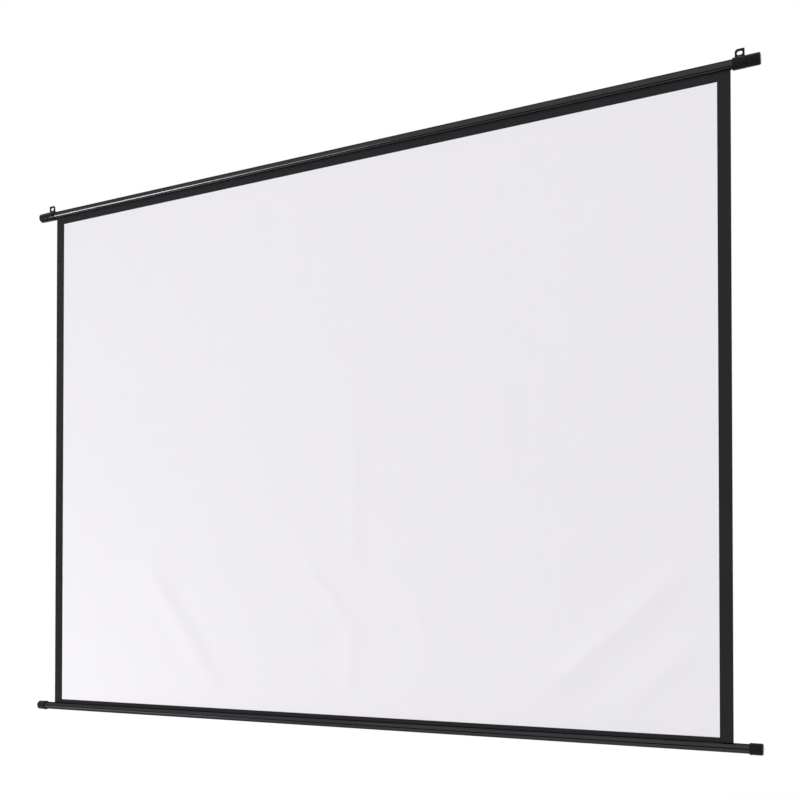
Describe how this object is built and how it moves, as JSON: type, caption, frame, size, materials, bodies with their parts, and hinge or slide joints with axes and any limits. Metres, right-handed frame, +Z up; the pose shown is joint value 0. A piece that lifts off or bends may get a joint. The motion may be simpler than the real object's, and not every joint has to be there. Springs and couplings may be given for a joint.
{
  "type": "motorized projection screen",
  "caption": "Motorized projection screen that hangs by two plates: slim housing with a gearmotor and roller, white fabric with a black border, weight bar.",
  "frame": {"origin": "middle of the line through the two hanger holes", "axes": "+X along the bars to the right as seen from the front, +Z up, and the picture faces -Y"},
  "size_m": [2.6735, 0.0336, 1.9516],
  "materials": {
    "black_paint": "satin black powder coat on aluminium",
    "black_plastic": "matte black moulded plastic",
    "white_fabric": "matte white coated screen fabric with a printed black border",
    "grey_felt": "dark felt",
    "aluminium": "plain extruded aluminium",
    "steel": "plated steel",
    "bronze": "sintered bronze",
    "copper": "copper",
    "magnet": "dark grey ferrite or carbon",
    "white_nylon": "off-white nylon",
    "green_board": "green circuit board"
  },
  "bodies": {
    "housing_body": {"housing_tube": "black_paint", "slot_felt_front": "grey_felt", "slot_felt_back": "grey_felt", "end_cap_top_left": "black_plastic", "end_cap_top_right": "black_plastic", "cap_screw_top_left": "steel", "cap_screw_top_right": "steel", "idler_bracket": "black_plastic", "idler_bearing": "bronze", "idler_bracket_screw": "steel", "gearbox_front_plate": "steel", "output_bushing": "bronze", "gearbox_case": "steel", "motor_can": "steel", "magnet_upper": "magnet", "magnet_lower": "magnet", "end_bell": "white_nylon", "brush_upper": "magnet", "brush_lower": "magnet", "motor_clamp_inner": "black_plastic", "motor_clamp_outer": "black_plastic", "motor_clamp_screw": "steel", "control_board": "green_board", "push_switch": "black_plastic", "dc_inlet": "black_plastic", "inlet_lead": "black_plastic", "motor_lead": "black_plastic", "projection_fabric": "white_fabric"},
    "roller_body": {"roller_tube": "aluminium", "roller_keder": "white_nylon", "fabric_wraps": "white_fabric", "drive_plug": "black_plastic", "idler_plug": "black_plastic", "idler_pin": "steel", "planet_carrier": "steel"},
    "planet_body_1": {"planet_gear_1": "white_nylon"},
    "planet_body_2": {"planet_gear_2": "white_nylon"},
    "planet_body_3": {"planet_gear_3": "white_nylon"},
    "rotor_body": {"motor_shaft": "steel", "sun_gear": "bronze", "rotor_core": "steel", "rotor_winding": "copper", "commutator": "copper"},
    "weight_bar_body": {"weight_bar_tube": "black_paint", "hem_spline": "white_nylon", "fabric_hem": "white_fabric", "ballast_rod": "steel", "end_cap_bottom_left": "black_plastic", "end_cap_bottom_right": "black_plastic", "cap_screw_bottom_left": "steel", "cap_screw_bottom_right": "steel"},
    "hanger_left_body": {"hanger_left": "black_plastic"},
    "hanger_right_body": {"hanger_right": "black_plastic"},
    "run_button_body": {"run_button": "magnet", "switch_plunger": "white_nylon"}
  },
  "joints": [
    {"name": "bar_lift", "type": "slide", "parent": "housing_body", "child": "weight_bar_body", "axis": [0, 0, 1], "range_m": [0, 1.858], "deforming": ["projection_fabric"]},
    {"name": "roller_spin", "type": "hinge", "parent": "housing_body", "child": "roller_body", "pos_m": [0, 0, -0.0276], "axis": [1, 0, 0], "range_deg": [0, 11891.3]},
    {"name": "planet_spin_1", "type": "hinge", "parent": "roller_body", "child": "planet_body_1", "pos_m": [-1.2695, 0, -0.0222], "axis": [1, 0, 0], "range_deg": [-35674, 0]},
    {"name": "planet_spin_2", "type": "hinge", "parent": "roller_body", "child": "planet_body_2", "pos_m": [-1.2695, 0.00468, -0.0303], "axis": [1, 0, 0], "range_deg": [-35674, 0]},
    {"name": "planet_spin_3", "type": "hinge", "parent": "roller_body", "child": "planet_body_3", "pos_m": [-1.2695, -0.00468, -0.0303], "axis": [1, 0, 0], "range_deg": [-35674, 0]},
    {"name": "rotor_spin", "type": "hinge", "parent": "housing_body", "child": "rotor_body", "pos_m": [0, 0, -0.0276], "axis": [1, 0, 0], "range_deg": [0, 47565.4]},
    {"name": "hanger_left_swivel", "type": "hinge", "parent": "housing_body", "child": "hanger_left_body", "pos_m": [0, 0, -0.0276], "axis": [1, 0, 0], "range_deg": [-90, 90]},
    {"name": "hanger_right_swivel", "type": "hinge", "parent": "housing_body", "child": "hanger_right_body", "pos_m": [0, 0, -0.0276], "axis": [1, 0, 0], "range_deg": [-90, 90]},
    {"name": "run_button_press", "type": "slide", "parent": "housing_body", "child": "run_button_body", "axis": [1, 0, 0], "range_m": [0, 0.001], "stiffness_N_per_m": 400}
  ],
  "couplings": [
    {"joint": "roller_spin", "follows": "bar_lift", "rad_per_m": 111.7},
    {"joint": "planet_spin_1", "follows": "bar_lift", "rad_per_m": -335.11},
    {"joint": "planet_spin_2", "follows": "bar_lift", "rad_per_m": -335.11},
    {"joint": "planet_spin_3", "follows": "bar_lift", "rad_per_m": -335.11},
    {"joint": "rotor_spin", "follows": "bar_lift", "rad_per_m": 446.81}
  ]
}
